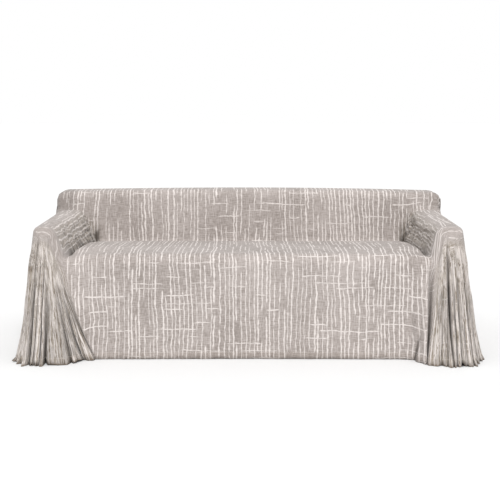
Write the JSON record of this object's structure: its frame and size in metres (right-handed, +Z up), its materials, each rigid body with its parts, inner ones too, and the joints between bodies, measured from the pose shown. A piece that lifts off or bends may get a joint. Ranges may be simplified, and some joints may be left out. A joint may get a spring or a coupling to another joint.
{
  "type": "sofa slipcover",
  "caption": "Loose cloth cover for a three-seat sofa with low arms, draped over back, arms and seat and falling to the floor.",
  "frame": {"origin": "on the floor, under the middle of the cover's box", "axes": "+X across the seat, +Y from the front to the back, +Z up"},
  "size_m": [2.2732, 1.2186, 0.7439],
  "materials": {
    "cotton_jacquard": "matt woven cotton, greige ground with off-white raised threads"
  },
  "bodies": {
    "root": {"cover": "cotton_jacquard"}
  },
  "joints": []
}
